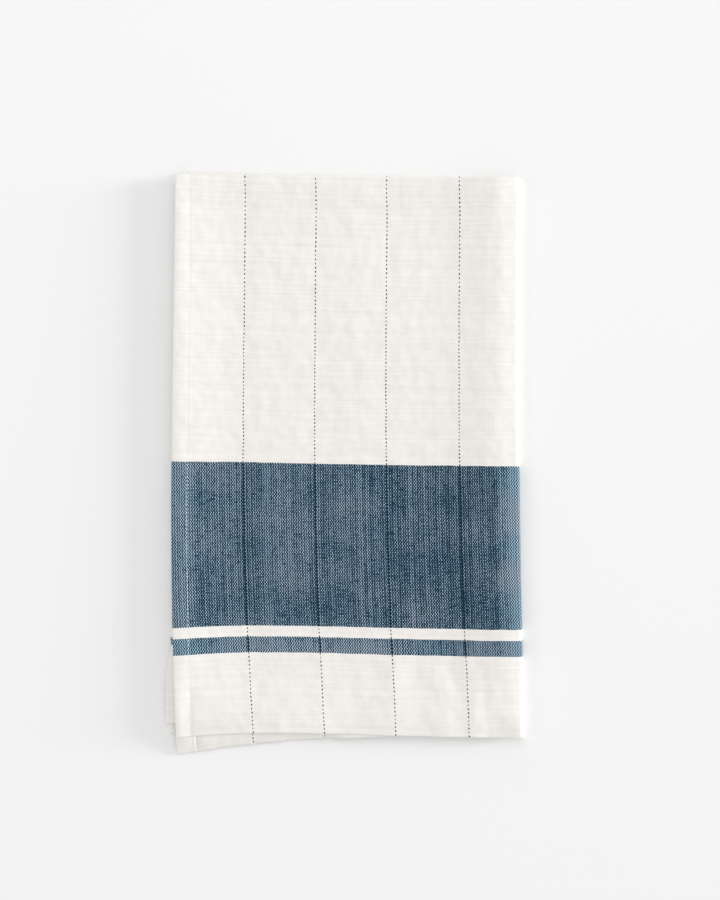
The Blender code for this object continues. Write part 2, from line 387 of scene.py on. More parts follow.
@dataclass(frozen=True)
class FoldedStack:
    """How the cloth is folded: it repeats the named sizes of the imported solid.

    The first fold is crosswise, with the wrong sides together. The second is lengthwise, with
    the banded half outside. Each layer's right side lies where the solid's does, but for the
    creases and for the two lowest layers' side edges, which stray.
    """

    width: float = 0.490
    length: float = 0.790
    layer_room: float = 1.0 * MM  # what each layer takes up, with the air in and around it
    hem_room: float = 1.8 * MM
    layer_gap: float = 0.5 * MM
    hem_plateau: float = 0.005
    hem_slope: float = 0.050
    hem_slope_skew: float = 0.75
    long_fold_loft: float = 1.4 * MM
    long_fold_crest: float = 0.012
    long_fold_dip: float = 0.3
    long_fold_reach: float = 0.054
    cross_fold_loft: float = 0.4 * MM
    cross_fold_reach: float = 0.030
    droop_length: float = 0.016
    droop_depth: float = 3.2 * MM
    banded_end: PlanRow = PlanRow((-0.1195, -0.1920), (0.1251, -0.1920), (-0.1244, -0.1906))
    cross_fold: PlanRow = PlanRow((-0.1202, 0.2035), (0.1220, 0.2007), (-0.1115, 0.2056))
    plain_end: PlanRow = PlanRow((-0.1195, -0.2053), (0.1251, -0.1850), (-0.1251, -0.1829))
    upper_edge_bow: float = 3.0 * MM
    upper_edge_skew: float = 1.5
    long_fold_bow: float = 2.1 * MM
    end_bow: float = 3.4 * MM
    end_skew: float = 2.0
    end_bow_reach: float = 2.5
    strays: tuple[tuple[float, float, float, int], ...] = (
        # where the side edge of a lower layer strays outwards: the middle and half width of the
        # stretch along Y, how far, and 1 for the plain half's layer or 0 for the lowest one
        (-0.160, 0.032, 3.0 * MM, 1),
        (-0.1240, 0.0060, -2.2 * MM, 1),
        (-0.1240, 0.0060, 2.2 * MM, 0),  # whose narrow band shows there
    )
    stray_fade: float = 20.0  # how fast that fades inwards, as a power of the way from the fold

    @property
    def run_across(self) -> float:
        """Length of a layer from its side edge to where the lengthwise fold begins."""
        loft = self.long_fold_loft * (1 - self.long_fold_dip) + self.cross_fold_loft
        return self.width / 2 - math.pi / 2 * (self.layer_room + self.layer_gap + loft)

    @property
    def run_along(self) -> float:
        """Length of a layer from its end to where the crosswise fold begins."""
        rise = self.layer_room + self.layer_gap / 2 + self.cross_fold_loft
        return self.length / 2 - math.pi / 2 * (rise - self.layer_room / 2)

    def plan(
        self, lower: np.ndarray, plain: np.ndarray, from_fold: np.ndarray, from_far_end: np.ndarray
    ) -> tuple[np.ndarray, np.ndarray]:
        """Where places of the cloth lie in plan.

        Args:
            lower: 0 on the layers above the lengthwise fold, 1 on those below it.
            plain: 0 on the banded half, 1 on the plain half.
            from_fold: Share of the way from the lengthwise fold to the side edge.
            from_far_end: Share of the way from the crosswise fold to the end.

        Returns:
            The x and the y of each place, in metres.
        """
        at = []
        for axis in (0, 1):
            end = mix(self.banded_end.side(axis, lower), self.plain_end.side(axis, lower), plain)
            side = mix(self.cross_fold.side(axis, lower), end, from_far_end)
            fold_end = mix(self.banded_end.fold[axis], self.plain_end.fold[axis], plain)
            fold = mix(self.cross_fold.fold[axis], fold_end, from_far_end)
            at.append(mix(fold, side, from_fold))
        down = np.maximum(from_far_end, 0.0)
        inner = np.maximum(from_fold, 0.0)
        edge_bow = self.upper_edge_bow * (1 - lower) * np.sin(math.pi * down**self.upper_edge_skew)
        x = at[0] - mix(self.long_fold_bow * np.sin(math.pi * down), edge_bow, from_fold)
        end_bow = self.end_bow * np.sin(math.pi * inner**self.end_skew)
        below = lower * inner**self.stray_fade
        for middle, half_width, out, half in self.strays:
            near = np.exp(-(((at[1] - middle) / half_width) ** 2))
            x = x - out * near * below * (1 - np.abs(plain - half))
        return x, at[1] + end_bow * down**self.end_bow_reach

    def past_hems(self, inwards: np.ndarray) -> np.ndarray:
        """How far down the slope inside the hems places are, from how far in they lie."""
        down = np.maximum((inwards - self.hem_plateau) / self.hem_slope, 0.0)
        return smooth(down**self.hem_slope_skew)

    def share_of_hem(self, x: np.ndarray, y: np.ndarray) -> np.ndarray:
        """How much of a hem's thickness each layer leaves room for at plan places x and y."""
        outer_x, outer_y = self.banded_end.lower_edge[0], self.banded_end.upper_edge[1]
        return 1 - self.past_hems(x - outer_x) * self.past_hems(y - outer_y)

    def long_loft(self, run: np.ndarray) -> np.ndarray:
        """How much wider the lengthwise fold is held open.

        Args:
            run: Distance from where the fold begins to bend.

        Returns:
            Metres at each place.
        """
        faded = smooth((run - self.long_fold_crest) / (self.long_fold_reach - self.long_fold_crest))
        dip = self.long_fold_dip * (1 - smooth(run / self.long_fold_crest))
        return self.long_fold_loft * (1 - faded) * (1 - dip)

    def cross_loft(self, run: np.ndarray) -> np.ndarray:
        """How much wider the crosswise fold is held open, at a distance from it."""
        return self.cross_fold_loft * (1 - smooth(run / self.cross_fold_reach))


def place_on_cloth(stations: Stations, run: float, size: float) -> np.ndarray:
    """Where stations lie on the opened cloth.

    Args:
        stations: The stations along one line of the cloth.
        run: Length of a layer, from the edge to where the fold begins.
        size: The cloth's whole size along the line.

    Returns:
        Metres from the line's first edge.
    """
    past_fold = (size - 2 * run) * stations.turn / math.pi
    return run - stations.run * np.cos(stations.turn) + past_fold


def mirror_at_edges(place: np.ndarray, first: np.ndarray, last: np.ndarray) -> np.ndarray:
    """The place that lies as far beyond the nearer of two edges as this one lies within."""
    return np.where(place - first < last - place, 2 * first - place, 2 * last - place)


def hem_between(stations: Stations, first: np.ndarray) -> np.ndarray:
    """Whether the strips that begin at these numbered stations lie on a turned-in hem."""
    return np.maximum(stations.hemmed[first], stations.hemmed[first + 1]) > 0


@dataclass(frozen=True)
class WeavePlan:
    """Which threads lie where: the warp's ends are counted from the side edge of the upper
    layers, and the weft's picks from the banded end.

    The cloth is made by hand, so its weft is beaten up closer in some places than in others, and
    both sets of threads stray from its folds and edges.
    """

    end_pitch: float = 0.862 * MM  # on average
    pick_pitch: float = 1.3 * MM
    ends: tuple[tuple[float, float], ...] = (  # mm from the side edge, and ends up to there
        (-30, -34.8), (0, 0), (149.5, 173.5), (201.2, 231.5), (520, 601.5),
    )
    picks: tuple[tuple[float, float], ...] = (  # mm from the banded end, and picks up to there
        (-30, -21), (0, 0), (57.0, 41), (68.2, 50), (76.0, 56), (191, 152), (275, 218),
        (312, 245), (395, 301), (790, 583), (820, 604),
    )
    narrow_band: tuple[int, int] = (41, 50)  # the first pick, and the first one past the band
    wide_band: tuple[int, int] = (56, 152)
    stripe_spacing: int = 58  # one end in so many is navy
    stripe_end: int = 57
    first_stripe: int = 38  # no navy end lies before this one or after the last
    last_stripe: int = 528
    warp_points_and_painted_light: tuple[tuple[float, float], ...] = (
        # mm from the side edge, and radius of the warp's points in threads: they are larger where
        # a hem or the lengthwise fold stretches the cloth, and their sizes also paint light and
        # shade:
        # more cream shows on the lit slope inside the hem and as a painted highlight along the
        # fold, less on the shaded rise before it
        (0, 0.54), (9, 0.52), (13, 0.46), (20, 0.41), (60, 0.385), (130, 0.355), (180, 0.315),
        (215, 0.29), (226, 0.34), (233, 0.46), (238, 0.66), (241, 0.82), (245, 0.95),
    )
    end_slack: tuple[float, float, float] = (0.16, 70 * MM, 20 * MM)  # larger still near the end
    warp_lead: float = 0.2 * MM  # the warp starts this far in from where it would lie
    warp_stray: float = 4.9 * MM  # and strays this much more by the ends
    warp_stray_rise: float = 3.5
    weft_rise: float = 3.4 * MM
    weft_rise_power: float = 3.0

    def count(self, u: np.ndarray, v: np.ndarray, size: Point) -> tuple[np.ndarray, np.ndarray]:
        """Counts the threads up to places on the opened cloth.

        Args:
            u: Metres across the cloth.
            v: Metres along it.
            size: The cloth's width and length.

        Returns:
            The ends and the picks, with fractions.
        """
        from_middle = np.abs(v / size[1] * 2 - 1)
        stray = self.warp_lead - self.warp_stray * from_middle**self.warp_stray_rise
        to_side = np.clip(1 - u / size[0] * 2, 0.0, 1.0)
        rise = self.weft_rise * to_side**self.weft_rise_power * np.sin(math.pi * v / size[1])
        across, ends = np.transpose(self.ends)
        along, picks = np.transpose(self.picks)
        return np.interp((u + stray) / MM, across, ends), np.interp((v - rise) / MM, along, picks)

    def points(self, u: np.ndarray, v: np.ndarray, width: float) -> np.ndarray:
        """How large the warp's points are, whose sizes also paint light and shade.

        Args:
            u: Metres across the cloth.
            v: Metres along it.
            width: The cloth's width.

        Returns:
            Their radius at each place, in threads.
        """
        from_edge, radius = np.transpose(self.warp_points_and_painted_light)
        extra, reach, fade = self.end_slack
        slack = extra * (1 - smooth((v - reach) / fade + 0.5))
        return np.interp(np.minimum(u, width - u) / MM, from_edge, radius) + slack


@dataclass(frozen=True)
class ClothGrid:
    """The quads of a cloth of two faces, each with the same grid of points, and of its rim."""

    columns: int
    rows: int
    margin: float = 0.006  # of the baking map, round each face
    rim_width: float = 0.002
    least_span: float = 0.4 * MM  # the finest rows get at least as much of the map as this

    def corners(self) -> np.ndarray:
        """The column and row of each corner of each quad of the right side."""
        first = np.indices((self.columns - 1, self.rows - 1)).reshape(2, -1).T[:, None, :]
        return first + np.array([(0, 0), (1, 0), (1, 1), (0, 1)])

    def rim(self) -> np.ndarray:
        """Goes all the way round the rim.

        Returns:
            The column and row of both ends of each of its edges.
        """
        last_column, last_row = self.columns - 1, self.rows - 1
        across, along = np.arange(self.columns), np.arange(self.rows)
        sides = [
            (across[:-1], np.zeros(last_column, int)),
            (np.full(last_row, last_column), along[:-1]),
            (across[:0:-1], np.full(last_column, last_row)),
            (np.zeros(last_row, int), along[:0:-1]),
        ]
        places = np.concatenate([np.stack(side, -1) for side in sides])
        return np.stack([places, np.roll(places, -1, axis=0)], 1)

    def number(self, places: np.ndarray, face: Face) -> np.ndarray:
        """The vertex numbers of places given by column and row."""
        return places[..., 0] * self.rows + places[..., 1] + face.value * self.columns * self.rows

    def quads(self) -> np.ndarray:
        """Makes the quads of the right side, of the wrong side and then of the rim.

        Returns:
            The four vertex numbers of each.
        """
        corner, rim = self.corners(), self.rim()
        around = [self.number(rim[:, end], face) for face, end in (
            (Face.RIGHT, 1), (Face.RIGHT, 0), (Face.WRONG, 0), (Face.WRONG, 1)
        )]
        right, wrong = self.number(corner, Face.RIGHT), self.number(corner[:, ::-1], Face.WRONG)
        return np.concatenate([right, wrong, np.stack(around, -1)])

    def bake_map(self, u: np.ndarray, v: np.ndarray) -> np.ndarray:
        """A map for baking, with the two faces side by side and the rim round the right side.

        Args:
            u: Where the columns lie on the opened cloth.
            v: Where the rows do.

        Returns:
            Two numbers from 0 to 1 for each corner of each quad.
        """
        spans = [np.maximum(np.diff(place.ravel()), self.least_span) for place in (u, v)]
        at = [np.concatenate([[0.0], np.cumsum(span)]) / span.sum() for span in spans]
        across_at = mix(self.margin, 0.5 - self.margin, at[0])
        along_at = mix(self.margin, 1 - self.margin, at[1])
        corner, rim = self.corners(), self.rim()
        right = np.stack([across_at[corner[..., 0]], along_at[corner[..., 1]]], -1)
        wrong = right[:, ::-1] * (-1, 1) + (1, 0)
        edge = np.stack([across_at[rim[..., 0]], along_at[rim[..., 1]]], -1)
        ahead = edge[:, 1] - edge[:, 0]
        outwards = np.stack([ahead[:, 1], -ahead[:, 0]], -1)
        outwards = self.rim_width * outwards / np.linalg.norm(outwards, axis=1, keepdims=True)
        around = [edge[:, 1], edge[:, 0], edge[:, 0] + outwards, edge[:, 1] + outwards]
        return np.concatenate([right, wrong, np.stack(around, 1)])


@dataclass(frozen=True)
class TeaTowel:
    """The cloth with its hems, as one thin sheet, and the places of its seams."""

    stack: FoldedStack = FoldedStack()
    weave: WeavePlan = WeavePlan()
    thickness: float = 0.65 * MM
    hem_thickness: float = 1.1 * MM
    corner_extra: float = 0.2 * MM  # where a side hem is sewn over an end hem
    groove: float = 0.12 * MM  # how deep the seams pull the cloth in
    side_hem: Hem = Hem(width=12.6 * MM)
    end_hem: Hem = Hem(width=14.0 * MM)
    step_across: float = 3.6 * MM  # spacing of the mesh's lines in the open cloth
    step_along: float = 3.9 * MM
    turns_across: int = 16  # steps round each fold
    turns_along: int = 12
    creases: tuple[Crease, ...] = (
        # the end of the top layer lies close on the layer under it
        Crease((-0.125, -0.1905), (0.108, -0.1905), 0.010, -1.6 * MM, Layers.TOP),
        # the end of the top layer stands off the layer under it, left of the middle
        Crease((-0.062, -0.190), (-0.022, -0.190), 0.013, 0.8 * MM, Layers.TOP),
        # the second layer's end sags nearly onto the table
        Crease((-0.088, -0.2005), (-0.070, -0.1983), 0.0055, -1.4 * MM, Layers.SECOND),
        Crease((-0.060, -0.1985), (-0.012, -0.1955), 0.0055, -2.6 * MM, Layers.SECOND),
        Crease((-0.040, -0.1960), (-0.012, -0.1940), 0.0055, -1.3 * MM, Layers.SECOND),
        # its corner hangs down to the table, with a dip on each side of the side hem's inner fold
        Crease((-0.1195, -0.2060), (-0.040, -0.2035), 0.007, -1.2 * MM, Layers.SECOND),
        Crease((-0.1083, -0.200), (-0.1083, -0.188), 0.0008, -0.25 * MM, Layers.SECOND),
        Crease((-0.1052, -0.200), (-0.1052, -0.188), 0.0009, -1.0 * MM, Layers.SECOND),
        # the side hems stand highest a little way in from the edge, most of all at the near end
        Crease((-0.1170, -0.190), (-0.1175, 0.200), 0.006, 0.45 * MM),
        Crease((-0.1180, -0.192), (-0.1180, -0.165), 0.005, 0.55 * MM, Layers.TOP),
        Crease((-0.1098, -0.192), (-0.1098, -0.160), 0.0025, -0.35 * MM, Layers.TOP),
        # the lengthwise fold is pressed down softly along its edge
        Crease((0.1225, -0.192), (0.1190, 0.200), 0.006, -0.45 * MM),
        # it stands up a little near the end, and soft folds run up from there
        Crease((0.120, -0.200), (0.120, -0.115), 0.018, 0.9 * MM),
        Crease((0.0345, -0.194), (0.0340, -0.140), 0.008, 0.8 * MM),
        Crease((0.0670, -0.194), (0.0655, -0.145), 0.010, 0.9 * MM),
        Crease((0.0920, -0.192), (0.0845, -0.138), 0.006, 0.6 * MM),
    )
    ripples: tuple[Ripple, ...] = (
        Ripple(0.061, 0.93, 0.10 * MM, 0.4),
        Ripple(0.034, -0.51, 0.05 * MM, 2.1),
        Ripple(0.140, 0.21, 0.12 * MM, 4.0),
        Ripple(-0.25, 0.083, 0.05 * MM, 1.3),
    )

    def stations(self, run: float, hem: Hem, step: float, turns: int) -> Stations:
        """The places along one line of the cloth, which is the same on both sides of its fold.

        Args:
            run: Length of a layer, from its edge to where the fold begins.
            hem: The hem at the line's two ends.
            step: Spacing in the open cloth.
            turns: Steps round the fold.

        Returns:
            The stations, from the first edge to the other.
        """
        rows = hem.rows()
        inner = rows[-1][0]
        count = math.ceil((run - inner) / step)
        rows += [(mix(inner, run, n / count),) * 2 + (0.0, 0.0, 0.0) for n in range(1, count + 1)]
        layer = np.array(rows)
        bend = np.zeros((turns - 1, layer.shape[1]))
        bend[:, :2] = run
        places = np.concatenate([layer, bend, layer[::-1]])
        turn = np.linspace(0.0, math.pi, turns + 1)[1:-1]
        turn = np.concatenate([np.zeros(len(layer)), turn, np.full(len(layer), math.pi)])
        return Stations(run - places[:, 0], run - places[:, 1], turn, *places[:, 2:].T)

    def single(self, run: float, distance: float, turn: float, hemmed: float) -> Stations:
        """One place alone, such as where a seam crosses a line of the cloth.

        Args:
            run: Length of the layer.
            distance: How far the place is from the cloth's edge.
            turn: 0 on the upper layer, pi on the lower one.
            hemmed: Whether the place is within a hem, as a share.

        Returns:
            Stations with a single place.
        """
        there = np.array([run - distance])
        return Stations(there, there, np.array([turn]), np.array([hemmed]), np.zeros(1), np.ones(1))

    def lay(self, across: Stations, along: Stations, face: Face) -> np.ndarray:
        """Puts one face of the cloth in its place in the folded towel.

        The crosswise fold bends the cloth round a line halfway between two layers, and the
        lengthwise fold bends that pair round the surface halfway up the stack.

        Args:
            across: The places across the cloth.
            along: The places along it.
            face: Which face.

        Returns:
            An array of points, one for each place across and each place along.
        """
        stack = self.stack
        side = {name: value[:, None] for name, value in vars(across).items()}
        end = {name: value[None, :] for name, value in vars(along).items()}
        run_x, run_y = side["run"], end["run"]
        if face is Face.WRONG:
            run_x = mix(side["run"], side["wrong_run"], 1 - end["hemmed"])
            run_y = mix(end["run"], end["wrong_run"], 1 - side["hemmed"])
        lower = (1 - np.cos(side["turn"])) / 2
        plain = (1 - np.cos(end["turn"])) / 2
        x, y = stack.plan(lower, plain, run_x / stack.run_across, run_y / stack.run_along)
        hemmed = stack.share_of_hem(x, y)
        room = mix(stack.layer_room, stack.hem_room, hemmed)
        open_cloth = 1 - hemmed
        cross_loft = open_cloth * stack.cross_loft(run_y)
        long_loft = open_cloth * stack.long_loft(run_x)
        rise = room + stack.layer_gap / 2 + cross_loft
        bend = room + stack.layer_gap + cross_loft + long_loft
        middle = bend + rise

        pull = np.maximum(side["pull"], end["pull"]) * self.hem_thickness / 2
        depth = pull + self.groove * np.maximum(side["sewn"], end["sewn"])
        if face is Face.WRONG:
            turned_in = np.maximum(side["hemmed"], end["hemmed"])
            depth = mix(self.thickness, self.hem_thickness, turned_in) - depth
            depth = depth + self.corner_extra * side["hemmed"] * end["hemmed"]
        reach = rise - depth
        radius = bend + reach * np.cos(end["turn"])
        height = middle + radius * np.cos(side["turn"])
        overhang = smooth((stack.banded_end.lower_edge[1] - y) / stack.droop_length)
        height = height - stack.droop_depth * overhang * (1 - lower)

        from_fold = (run_x + middle - radius * np.sin(side["turn"])) / (stack.run_across + middle)
        from_far_end = (run_y + rise - reach * np.sin(end["turn"])) / (stack.run_along + rise)
        x, y = stack.plan(lower, plain, from_fold, from_far_end)
        return np.stack([x, y, height + self.unevenness(x, y, height, middle, lower, plain)], -1)

    def unevenness(
        self,
        x: np.ndarray,
        y: np.ndarray,
        height: np.ndarray,
        middle: np.ndarray,
        lower: np.ndarray,
        plain: np.ndarray,
    ) -> np.ndarray:
        """How far the creases and ripples lift the cloth, less towards the table.

        Args:
            x: Plan places.
            y: The same.
            height: Height of the places before this.
            middle: Half the height of the stack there.
            lower: 1 below the lengthwise fold.
            plain: 1 on the plain half.

        Returns:
            Metres at each place.
        """
        share = {
            Layers.ALL: np.clip(height / (2 * middle), 0.0, 1.0),
            Layers.TOP: (1 - lower) * (1 - plain),
            Layers.SECOND: (1 - lower) * plain,
        }
        lift = sum(crease.lift(x, y) * share[crease.layers] for crease in self.creases)
        return lift + sum(ripple.lift(x, y) for ripple in self.ripples) * share[Layers.ALL]

    def seams(self, face: Face) -> list[np.ndarray]:
        """The lines that the sewing follows on one face of the cloth.

        Args:
            face: Which face.

        Returns:
            Four lines of points: the seams of both sides and of both ends.
        """
        across, along = self.lines()
        stack = self.stack
        lines = []
        for turn in (0.0, math.pi):
            side = self.single(stack.run_across, self.side_hem.seam, turn, 1.0)
            lines.append(self.lay(side, along, face)[0])
            end = self.single(stack.run_along, self.end_hem.seam, turn, 1.0)
            lines.append(self.lay(across, end, face)[:, 0])
        return lines

    def lines(self) -> tuple[Stations, Stations]:
        """The stations across the cloth and along it."""
        stack = self.stack
        return (
            self.stations(stack.run_across, self.side_hem, self.step_across, self.turns_across),
            self.stations(stack.run_along, self.end_hem, self.step_along, self.turns_along),
        )

    def opened(self, across: Stations, along: Stations) -> tuple[np.ndarray, np.ndarray]:
        """Finds where the stations lie on the opened cloth.

        Args:
            across: The places across the cloth.
            along: The places along it.

        Returns:
            u, as a column, and v, as a row.
        """
        stack = self.stack
        u = place_on_cloth(across, stack.run_across, stack.width)[:, None]
        return u, place_on_cloth(along, stack.run_along, stack.length)[None, :]

    def build(self) -> bpy.types.Object:
        """Makes the cloth.

        Returns:
            The cloth as one closed thin mesh, with its weave's map and a map for baking.
        """
        across, along = self.lines()
        grid = ClothGrid(len(across.run), len(along.run))
        points = np.concatenate([self.lay(across, along, face).reshape(-1, 3) for face in Face])
        mesh = new_mesh("woven_cloth", points.tolist(), [], grid.quads().tolist())
        u, v = self.opened(across, along)
        maps = {THREAD_MAP: self.thread_map(grid, across, along), BAKE_MAP: grid.bake_map(u, v)}
        for name, corners in maps.items():
            mesh.uv_layers.new(name=name).data.foreach_set("uv", corners.ravel())
        shows = np.tile(self.weave.points(u, v, self.stack.width).ravel(), len(Face))
        mesh.attributes.new(WARP_SHOW, "FLOAT", "POINT").data.foreach_set("value", shows)
        mesh.shade_smooth()
        return add_object("woven_cloth", mesh)

    def thread_map(self, grid: ClothGrid, across: Stations, along: Stations) -> np.ndarray:
        """Which threads cross at each corner of each face.

        Args:
            grid: The mesh's grid.
            across: The places across the cloth.
            along: The places along it.

        Returns:
            The number of the end and of the pick, with fractions, at each corner of each quad.
        """
        size = (self.stack.width, self.stack.length)
        u, v = self.weave.count(*np.broadcast_arrays(*self.opened(across, along)), size)
        corner, first = grid.corners(), grid.corners()[:, :1]
        maps = []
        for face in Face:
            at = corner if face is Face.RIGHT else corner[:, ::-1]
            corner_u, corner_v = u[at[..., 0], at[..., 1]], v[at[..., 0], at[..., 1]]
            if face is Face.WRONG:
                in_side = hem_between(across, first[..., 0])
                in_end = hem_between(along, first[..., 1]) & ~in_side
                turned_u = mirror_at_edges(corner_u, u[0, at[..., 1]], u[-1, at[..., 1]])
                turned_v = mirror_at_edges(corner_v, v[at[..., 0], 0], v[at[..., 0], -1])
                corner_u = np.where(in_side, turned_u, corner_u)
                corner_v = np.where(in_end, turned_v, corner_v)
            maps.append(np.stack([corner_u, corner_v], -1))
        rim = grid.rim()[:, [1, 0, 0, 1]]
        maps.append(np.stack([u[rim[..., 0], rim[..., 1]], v[rim[..., 0], rim[..., 1]]], -1))
        return np.concatenate(maps)


# --- Sewing ----------------------------------------------------------------------------------


@dataclass(frozen=True)
class HemStitching:
    """Machine stitches that hold the hems, one small bead of thread for each."""

    pitch: float = 2.8 * MM
    stitch_length: float = 2.3 * MM
    thread_width: float = 0.46 * MM
    unevenness: float = 0.14  # how far the stitches lean and differ in size, as a share
    sides: int = 8
    rings: int = 5
    seed: int = 7

    def tree(self) -> bpy.types.NodeTree:
        """Makes the Geometry Nodes tree that sets stitches along lines.

        Returns:
            The tree, with named inputs for its sizes.
        """
        tree = bpy.data.node_groups.new("stitches_along_seams", "GeometryNodeTree")
        inputs = {"Seams": "Geometry", "Pitch": "Float", "Stitch Length": "Float"}
        inputs |= {"Thread Width": "Float", "Unevenness": "Float", "Seed": "Int"}
        inputs |= {"Thread": "Material"}
        for name, kind in inputs.items():
            tree.interface.new_socket(name, in_out="INPUT", socket_type=f"NodeSocket{kind}")
        tree.interface.new_socket("Stitches", in_out="OUTPUT", socket_type="NodeSocketGeometry")

        bench = NodeBench(tree)
        width, uneven = "given.Thread Width", "given.Unevenness"
        bench.add_all(
            ("given", Node.GROUP_INPUT, ()),
            ("curve", Node.MESH_TO_CURVE, ("given.Seams",)),
            ("places", Node.RESAMPLE, {"Curve": "curve", "Length": "given.Pitch"}),
            ("least", Node.MULTIPLY, (uneven, -1.0)),
            ("lean", Node.RANDOM_VECTOR, {"Min": "least", "Max": uneven, "Seed": "given.Seed"}),
            ("tangent", Node.TANGENT, ()),
            ("heading", Node.ADD_VECTOR, ("tangent", "lean")),
            ("turned", Node.ALIGN, {"Vector": "heading"}),
            ("size", Node.ADD_VECTOR, ("lean", (1.0, 1.0, 1.0))),
            # the bead is a ball 1 m across until it is scaled
            ("bead", Node.SPHERE, {"Segments": self.sides, "Rings": self.rings, "Radius": 0.5}),
            ("bead_size", Node.COMBINE, (width, width, "given.Stitch Length")),
            ("stitch", Node.TRANSFORM, {"Geometry": "bead", "Scale": "bead_size"}),
            ("stitches", Node.INSTANCES, {
                "Points": "places", "Instance": "stitch", "Rotation": "turned", "Scale": "size",
            }),
            ("real", Node.REALIZE, ("stitches",)),
            ("dressed", Node.SET_MATERIAL, {"Geometry": "real", "Material": "given.Thread"}),
            ("done", Node.GROUP_OUTPUT, {"Stitches": "dressed"}),
        )
        return tree

    def build(self, towel: TeaTowel, thread: bpy.types.Material) -> bpy.types.Object:
        """Sews all the hems.

        Args:
            towel: The towel whose seams the stitches follow.
            thread: The thread's material.

        Returns:
            The stitches of all the seams as one mesh.
        """
        points, edges = [], []
        for line in (line for face in Face for line in towel.seams(face)):
            first = len(points)
            points += line.tolist()
            edges += [(first + n, first + n + 1) for n in range(len(line) - 1)]
        guide = add_object("seam_lines", new_mesh("seam_lines", points, edges, []))
        sewing = guide.modifiers.new("Sewing", "NODES")
        sewing.node_group = self.tree()
        sizes = {
            "Pitch": self.pitch,
            "Stitch Length": self.stitch_length,
            "Thread Width": self.thread_width,
            "Unevenness": self.unevenness,
            "Seed": self.seed,
            "Thread": thread,
        }
        for socket in sewing.node_group.interface.items_tree:
            if socket.name in sizes:
                sewing[socket.identifier] = sizes[socket.name]
        evaluated = guide.evaluated_get(bpy.context.evaluated_depsgraph_get())
        stitches = add_object("hem_stitches", bpy.data.meshes.new_from_object(evaluated))
        stitches.data.shade_smooth()
        bpy.data.objects.remove(guide, do_unlink=True)
        return stitches


# --- Finishes --------------------------------------------------------------------------------


